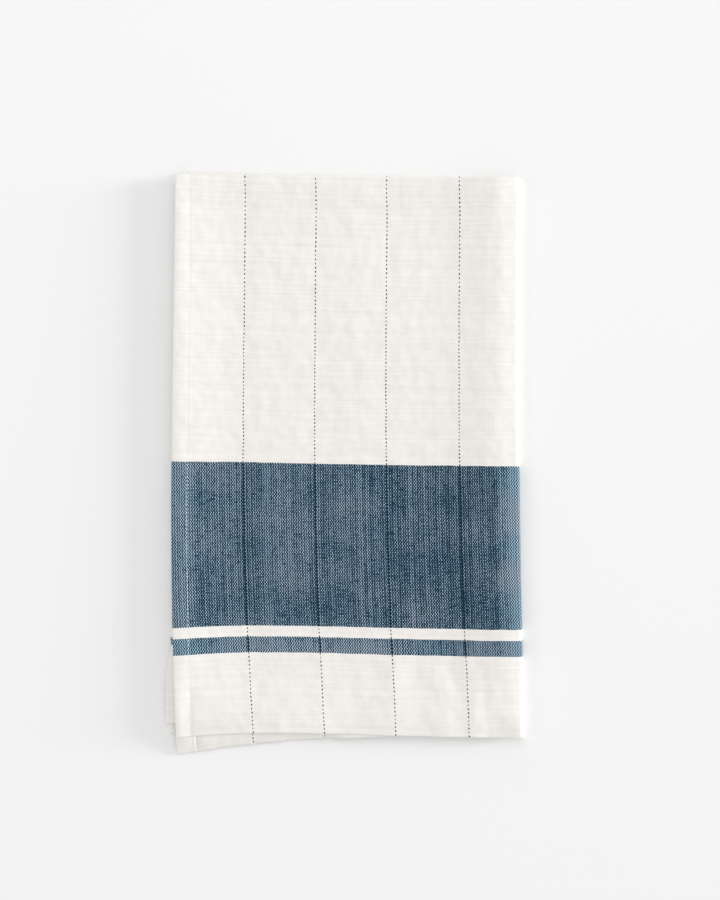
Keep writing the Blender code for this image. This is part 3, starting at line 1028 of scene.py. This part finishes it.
@dataclass(frozen=True)
class WovenCotton:
    """Thick hand-spun cotton in a plain weave, with the navy threads dyed in the yarn.

    Matt and a little fuzzy. The warp's ends lie in pairs, as the reed leaves them. The fuller weft
    covers most of the warp, which shows as rows of small points: cream ones where the weft is
    navy, and navy ones in the cream cloth. The threads are uneven, so they run as faint streaks,
    with thick places in the weft, and here and there a fleck of seed husk is spun in.
    """

    plan: WeavePlan = WeavePlan()
    name: str = "plain_woven_cotton"
    cream: str = "#f5f2ef"
    cream_dull: str = "#e6e2dd"
    # two colours of the cream warp's points in the bands, painted darker and bluer for the shade
    # and the fuzz of the navy weft round them
    blue_shaded_point: str = "#9ac5da"  # a cream end between navy picks
    grey_shaded_point: str = "#c1c7d4"
    navy: str = "#0b1b42"
    teal: str = "#053b43"
    navy_pale: str = "#163d54"
    navy_end: str = "#17333f"
    husk: str = "#a59a8c"
    shadow: str = "#000000"
    sway: float = 0.35 * MM  # the threads wander this far
    sway_length: float = 16 * MM
    pairing: float = 0.19  # how far the two ends of a pair draw together, in threads
    dot_size: float = 0.54  # of the navy points in the cream cloth, in threads
    dot_spread: float = 0.36  # how much they differ
    point_edge: float = 0.20
    point_shape: tuple[float, float, float] = (0.85, 1.0, 0.0)  # longer across the weft, in threads
    point_spreads: tuple[tuple[str, float], ...] = (  # how much the points in a band differ
        ("end_tone", 0.20),  # from end to end
        ("end_streak", 0.25),  # along each end
        ("cross_tone", 0.16),  # from crossing to crossing
        ("cloud", 0.27),  # over wide soft areas
    )
    slub_cover: float = 0.14  # how much of a point a thick place in the weft covers
    tone_shares: tuple[tuple[str, float], ...] = (  # what makes a thread more or less bright
        ("pick_tone", 0.25), ("pick_streak", 0.5), ("end_streak", 0.25),
    )
    pick_draw: float = 977.0  # added to a pick's number, so that no end has the same tone
    end_step: float = 0.71  # from one thread to the next in a noise texture
    pick_step: float = 0.73
    slub_step: float = 0.67
    slub_range: Point = (0.58, 0.74)  # of the noise, from where the weft thickens
    streak_length: float = 40 * MM
    slub_length: float = 6 * MM
    cloud_length: float = 35 * MM
    husk_spacing: float = 16 * MM
    husk_radius: float = 0.5 * MM
    husk_share: float = 0.12  # of the places where one could be
    husk_strength: float = 0.5
    crown_fall_u: Point = (0.7, 2.6)  # of the weft's crown and of the warp's, across the cloth
    crown_fall_v: Point = (3.2, 0.9)  # and along it
    gap_level: float = 0.2  # the height under which a gap is darkest
    gap_shade: Point = (0.020, 0.10)  # lost between threads, in cream and in navy
    pair_shade: Point = (0.0, 0.50)  # and between pairs of ends
    pair_gap: float = 0.5  # where that begins, in threads from the middle of a pair
    line_width: Point = (1.1, 0.4)  # of a navy end in a band, from edge to core, in threads
    relief: float = 0.02 * MM  # how far the threads' crowns stand up
    rumple: float = 0.78 * MM  # of the soft dents and rises that washing leaves
    rumple_length: float = 13 * MM
    roughness: float = 0.93
    specular: float = 0.08
    sheen: float = 0.05
    sheen_roughness: float = 0.6

    def material(self) -> bpy.types.Material:
        """Makes the material.

        Returns:
            The material.
        """
        material, bench, shader = new_material(self.name, {
            "Roughness": self.roughness,
            "Specular IOR Level": self.specular,
            "Sheen Weight": self.sheen,
            "Sheen Roughness": self.sheen_roughness,
        })
        self.count_threads(bench)
        self.vary_threads(bench)
        self.choose_points(bench)
        self.raise_crowns(bench)
        self.colour(bench)
        bench.add_all(
            ("height", Node.MULTIPLY, ("crown", self.relief)),
            ("height", Node.MULTIPLY_ADD, ("rumple", self.rumple, "height")),
            ("bump", Node.BUMP, {"Strength": 1.0, "Distance": 1.0, "Height": "height"}),
        )
        bench.feed(shader, {"Base Color": "cloth", "Normal": "bump"})
        return material

    def count_threads(self, bench: NodeBench) -> None:
        """Finds which threads cross at each place, and where it lies within the crossing.

        Adds "metres", the place on the cloth; "swayed", the same in threads; "crossing", whose
        X and Y are the numbers of the end and of the pick; "place", from the crossing's middle,
        in threads; "in_pair", across the pair of ends, from 0 to 2; and "warp_over", 1 where the
        warp lies over the weft.

        Args:
            bench: The material's tree.
        """
        across, along = self.plan.end_pitch, self.plan.pick_pitch
        reach = (2 * self.sway / across, 2 * self.sway / along, 0.0)
        bench.add_all(
            ("counted", Node.THREAD_MAP, ()),
            ("metres", Node.MULTIPLY_VECTOR, ("counted", (across, along, 0.0))),
            ("wander", Node.NOISE, {
                "Vector": "metres", "Scale": 1 / self.sway_length, "Detail": 1.0,
            }),
            ("centred", Node.SUBTRACT_VECTOR, ("wander.Color", (0.5, 0.5, 0.5))),
            ("swayed", Node.MULTIPLY_ADD_VECTOR, ("centred", reach, "counted")),
            ("crossing", Node.FLOOR, ("swayed",)),
            ("part", Node.FRACTION, ("swayed",)),
            ("number", Node.SEPARATE, ("crossing",)),
            ("second", Node.MODULO, ("number.X", 2.0)),
            ("part_x", Node.SEPARATE, ("part",)),
            ("in_pair", Node.ADD, ("second", "part_x")),
            ("middle_x", Node.MULTIPLY_ADD, ("second", 2 * self.pairing, -0.5 - self.pairing)),
            ("middle", Node.COMBINE, ("middle_x", -0.5)),
            ("place", Node.ADD_VECTOR, ("part", "middle")),
            ("total", Node.ADD, ("number.X", "number.Y")),
            ("warp_over", Node.MODULO, ("total", 2.0)),
        )

    def vary_threads(self, bench: NodeBench) -> None:
        """Adds what differs from thread to thread and along each one, from 0 to 1.

        Args:
            bench: The material's tree.
        """
        streak, slub, cloud = 1 / self.streak_length, 1 / self.slub_length, 1 / self.cloud_length
        rumple = 1 / self.rumple_length
        bench.add_all(
            ("end_tone", Node.RANDOM_TONE, {"W": "number.X"}),
            ("past", Node.ADD, ("number.Y", self.pick_draw)),
            ("pick_tone", Node.RANDOM_TONE, {"W": "past"}),
            ("cross_tone", Node.RANDOM_TONE_2D, {"Vector": "crossing"}),
            ("metre", Node.SEPARATE, ("metres",)),
            ("along_end", Node.COMBINE, ("number.X", "metre.Y")),
            ("along_pick", Node.COMBINE, ("metre.X", "number.Y")),
        )
        for name, line, scale in (
            ("end_streak", "along_end", (self.end_step, streak, 0.0)),
            ("pick_streak", "along_pick", (streak, self.pick_step, 0.0)),
            ("slub", "along_pick", (slub, self.slub_step, 0.0)),
            ("cloud", "metres", (cloud, cloud, 0.0)),
            ("rumple", "metres", (rumple, rumple, 0.0)),
        ):
            bench.add("scaled", Node.MULTIPLY_VECTOR, (line, scale))
            bench.add(name, Node.NOISE, {"Vector": "scaled", "Scale": 1.0, "Detail": 1.0})
        bench.add("slub", Node.SOFT_RANGE, ("slub", *self.slub_range))

    def choose_points(self, bench: NodeBench) -> None:
        """Finds where the warp shows as a point on the weft.

        Adds "band", 1 in the bands; "striped", 1 where navy ends may lie; "stripe", 1 on a navy
        end; and "warp_seen", how much of the warp shows.

        Args:
            bench: The material's tree.
        """
        plan = self.plan
        bench.add("turn", Node.MODULO, ("number.X", float(plan.stripe_spacing)))
        for name, number, (first, past) in (
            ("narrow", "number.Y", plan.narrow_band),
            ("wide", "number.Y", plan.wide_band),
            ("chosen", "turn", (plan.stripe_end, plan.stripe_end + 1)),
            ("striped", "number.X", (plan.first_stripe, plan.last_stripe)),
        ):
            bench.add(name, Node.COMPARE, (number, (first + past - 1) / 2, (past - first) / 2))
        spreads = sum(spread for _, spread in self.point_spreads)
        bench.add_all(
            ("band", Node.ADD, ("narrow", "wide")),
            ("stripe", Node.MULTIPLY, ("chosen", "striped")),
            # the point sizes from the mesh, which carry painted light and shade along with the
            # stretch
            ("warp_show", Node.WARP_SHOW, ()),
            ("size", Node.SUBTRACT, ("warp_show.Fac", spreads / 2)),
        )
        for name, spread in (*self.point_spreads, ("slub", -self.slub_cover)):
            bench.add("size", Node.MULTIPLY_ADD, (name, spread, "size"))
        least_dot = self.dot_size - self.dot_spread / 2
        bench.add_all(
            ("dot", Node.MULTIPLY_ADD, ("cross_tone", self.dot_spread, least_dot)),
            ("size", Node.MIX, {"Factor": "band", "A": "dot", "B": "size"}),
            ("shaped", Node.MULTIPLY_VECTOR, ("place", self.point_shape)),
            ("away", Node.LENGTH, ("shaped",)),
            ("inner", Node.SUBTRACT, ("size", self.point_edge)),
            ("outer", Node.ADD, ("size", self.point_edge)),
            ("inside", Node.SOFT_RANGE, ("away", "outer", "inner")),
            ("warp_seen", Node.MULTIPLY, ("inside", "warp_over")),
        )

    def raise_crowns(self, bench: NodeBench) -> None:
        """Adds "crown", the height of the thread on top, from its round crown to the gaps.

        Args:
            bench: The material's tree.
        """
        for name, (weft, warp) in (("fall_u", self.crown_fall_u), ("fall_v", self.crown_fall_v)):
            bench.add(name, Node.MIX, {"Factor": "warp_over", "A": weft, "B": warp})
        bench.add_all(
            ("squared", Node.MULTIPLY_VECTOR, ("place", "place")),
            ("fall", Node.COMBINE, ("fall_u", "fall_v")),
            ("down", Node.DOT_PRODUCT, ("squared", "fall")),
            ("crown", Node.SUBTRACT, (1.0, "down")),
        )

    def colour(self, bench: NodeBench) -> None:
        """Adds "cloth", the colour of the threads, with the shade between them and the flecks.

        Args:
            bench: The material's tree.
        """
        self.lines(bench)
        self.husks(bench)
        self.shade(bench)
        tone: str | float = 0.0
        for name, share in self.tone_shares:
            bench.add("tone", Node.MULTIPLY_ADD, (name, share, tone))
            tone = "tone"
        steps = (  # each colour made, the share that mixes it, and what it is mixed of
            ("cream", "tone", self.cream_dull, self.cream),
            ("deep", "rumple", self.navy, self.teal),
            ("dyed", "tone", "deep", self.navy_pale),
            ("weft", "band", "cream", "dyed"),
            # the cream points in the bands, with painted shade from the navy weft
            ("point", "cloud", self.blue_shaded_point, self.grey_shaded_point),
            ("bare", "band", "cream", "point"),
            ("warp", "stripe", "bare", self.navy_end),
            ("cloth", "warp_seen", "weft", "warp"),
            ("cloth", "line", "cloth", self.navy_end),
            ("cloth", "fleck", "cloth", self.husk),
            ("cloth", "lost", "cloth", self.shadow),
        )
        for name, share, *ends in steps:
            start, end = [value if value in bench.made else linear_colour(value) for value in ends]
            bench.add(name, Node.MIX_COLOUR, {"Factor": share, "A": start, "B": end})

    def lines(self, bench: NodeBench) -> None:
        """Adds "line", how much each place belongs to a navy end's dark line in a band.

        Args:
            bench: The material's tree.
        """
        edge, core = self.line_width
        bench.add_all(
            ("at", Node.SEPARATE, ("swayed",)),
            ("beyond", Node.SUBTRACT, ("at", self.plan.stripe_end + 0.5)),
            ("off", Node.PINGPONG, ("beyond", self.plan.stripe_spacing / 2)),
            ("near", Node.SOFT_RANGE, ("off", edge, core, 0.0, "striped")),
            ("line", Node.MULTIPLY, ("near", "band")),
        )

    def shade(self, bench: NodeBench) -> None:
        """Adds "lost", the share of light lost between threads, and more between pairs of ends.

        Args:
            bench: The material's tree.
        """
        for name, (cream, navy) in (("gap", self.gap_shade), ("parting", self.pair_shade)):
            bench.add(name, Node.MIX, {"Factor": "band", "A": cream, "B": navy})
        bench.add_all(
            ("between", Node.RANGE, ("crown", 1.0, self.gap_level, 0.0, "gap")),
            ("off", Node.SUBTRACT, ("in_pair", 1.0)),
            ("off", Node.ABSOLUTE, ("off",)),
            ("parted", Node.SOFT_RANGE, ("off", self.pair_gap, 1.0, 0.0, "parting")),
            ("lost", Node.ADD, ("between", "parted")),
        )

    def husks(self, bench: NodeBench) -> None:
        """Adds "fleck", how much of a fleck of seed husk shows: they lie here and there.

        Args:
            bench: The material's tree.
        """
        radius = self.husk_radius / self.husk_spacing
        bench.add_all(
            ("cell", Node.CELLS, {"Vector": "metres", "Scale": 1 / self.husk_spacing}),
            ("chance", Node.SEPARATE_COLOUR, ("cell.Color",)),
            ("speck", Node.LESS_THAN, ("chance", self.husk_share)),
            ("near", Node.RANGE, ("cell.Distance", radius, 0.0, 0.0, self.husk_strength)),
            ("fleck", Node.MULTIPLY, ("speck", "near")),
        )


@dataclass(frozen=True)
class SewingThread:
    """White cotton sewing thread: two-ply, tightly twisted, a little brighter than the cloth."""

    name: str = "cotton_sewing_thread"
    colour: str = "#ecedec"
    roughness: float = 0.8
    sheen: float = 0.1
    twist: float = 0.9 * MM  # length of one turn of the plies
    ply_depth: float = 0.05 * MM
    ply_strength: float = 0.3
    wave_period: float = math.pi / 10  # metres, of a wave texture whose scale is 1

    def material(self) -> bpy.types.Material:
        """Makes the material.

        Returns:
            The material.
        """
        material, bench, shader = new_material(self.name, {
            "Base Color": linear_colour(self.colour),
            "Roughness": self.roughness,
            "Sheen Weight": self.sheen,
        })
        depth = {"Strength": self.ply_strength, "Distance": self.ply_depth}
        turns = self.wave_period / self.twist
        bench.add_all(
            ("place", Node.COORDINATES, ()),
            ("plies", Node.WAVE, {"Vector": "place.Object", "Scale": turns}),
            ("bump", Node.BUMP, {**depth, "Height": "plies.Fac"}),
        )
        bench.feed(shader, {"Normal": "bump"})
        return material


@dataclass(frozen=True)
class PalePaint:
    """The floor's plain matt off-white paint."""

    name: str = "pale_floor_paint"
    colour: str = "#f2f2f2"
    roughness: float = 0.95
    specular: float = 0.2

    def material(self) -> bpy.types.Material:
        """Makes the material."""
        look = {"Base Color": linear_colour(self.colour), "Roughness": self.roughness}
        return new_material(self.name, {**look, "Specular IOR Level": self.specular})[0]


# --- Studio ----------------------------------------------------------------------------------


@dataclass(frozen=True)
class SoftBox:
    """A large soft lamp that faces the towel."""

    name: str
    place: tuple[float, float, float]
    size: float
    power: float

    def light(self) -> None:
        """Hangs the lamp."""
        data = bpy.data.lights.new(self.name, "AREA")
        data.shape = "SQUARE"
        data.size = self.size
        data.energy = self.power
        lamp = add_object(self.name, data)
        lamp.location = self.place
        lamp.rotation_euler = Vector(self.place).to_track_quat("Z", "Y").to_euler()


@dataclass(frozen=True)
class Studio:
    """A plain pale floor under soft light, seen from straight above."""

    floor_half: float = 1.2
    floor_drop: float = 0.2 * MM
    floor: PalePaint = PalePaint()
    fill: float = 0.76  # strength of the even white light from all round
    lamps: tuple[SoftBox, ...] = (
        SoftBox("key_light", (8.0, 1.2, 1.41), 2.0, 551.0),
        SoftBox("top_light", (0.1, 0.8, 1.3), 0.8, 2.2),
        SoftBox("left_light", (-6.0, -0.5, 3.5), 2.0, 61.0),
    )
    camera_place: tuple[float, float, float] = (0.0093, 0.0096, 0.883)
    lens: float = 50.0  # mm, for a picture 36 mm tall

    def build(self) -> None:
        """Lays the floor, sets the lights and puts the camera in its place."""
        scene = bpy.context.scene
        half, low = self.floor_half, -self.floor_drop
        corners = [(-half, -half, low), (half, -half, low), (half, half, low), (-half, half, low)]
        floor = add_object("studio_floor", new_mesh("studio_floor", corners, [], [(0, 1, 2, 3)]))
        floor.data.materials.append(self.floor.material())
        world = bpy.data.worlds.new("studio_fill")
        world.use_nodes = True
        background = world.node_tree.nodes["Background"].inputs
        background["Strength"].default_value = self.fill
        background["Color"].default_value = (1.0, 1.0, 1.0, 1.0)
        scene.world = world
        for lamp in self.lamps:
            lamp.light()
        data = bpy.data.cameras.new("camera")
        data.lens = self.lens
        scene.camera = add_object("camera", data)
        scene.camera.location = self.camera_place
        scene.view_settings.view_transform = "Standard"


# --- The whole towel -------------------------------------------------------------------------


def report(piece: bpy.types.Object) -> None:
    """Logs a piece's size and how many faces it has."""
    sides = " x ".join(f"{side / MM:.1f}" for side in piece.dimensions)
    LOG.info("%s: %s mm, %d faces", piece.name, sides, len(piece.data.polygons))


def main() -> None:
    """Builds the towel and its studio, and writes down the sizes."""
    logging.basicConfig(level=logging.INFO, format="%(name)s: %(message)s")
    towel = TeaTowel()
    cloth = towel.build()
    cloth.data.materials.append(WovenCotton().material())
    stitches = HemStitching().build(towel, SewingThread().material())
    for piece in (cloth, stitches):
        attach(piece, "root")
        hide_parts("tea_towel")
        report(piece)
    Studio().build()


if __name__ == "__main__":
    main()
